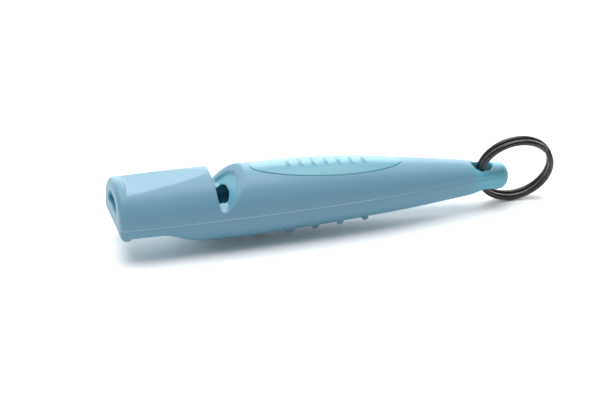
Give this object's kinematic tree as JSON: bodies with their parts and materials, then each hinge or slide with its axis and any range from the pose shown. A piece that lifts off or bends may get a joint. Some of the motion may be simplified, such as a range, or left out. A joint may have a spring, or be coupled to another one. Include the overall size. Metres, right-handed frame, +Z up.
{
  "type": "training whistle",
  "caption": "Pealess dog training whistle with a flat beak, sounding notch, studded belly, oval thumb pad and a wire split ring through the tail eye.",
  "frame": {"origin": "under the middle of the whole object's box, on the surface that it lies on", "axes": "+X from the mouth to the tail and its ring, +Z up with the thumb pad on top, +Y to the left of someone looking along +X"},
  "size_m": [0.0914, 0.0164, 0.016],
  "materials": {
    "shell": "satin moulded plastic, pale turquoise",
    "lower": "satin moulded plastic, pale turquoise",
    "insert": "smooth moulded plastic, turquoise",
    "pad": "smooth moulded plastic, turquoise",
    "ring": "black coated steel wire"
  },
  "bodies": {
    "whistle": {"upper_shell": "shell", "lower_shell": "lower", "windway_block": "insert", "chamber_plug": "insert", "thumb_pad": "pad"},
    "ring": {"split_ring": "ring"}
  },
  "joints": [
    {"name": "ring_swing", "type": "hinge", "parent": "whistle", "child": "ring", "pos_m": [0.03073, 0, 0.00655], "axis": [0, 0, 1], "range_deg": [-115, 115]}
  ]
}
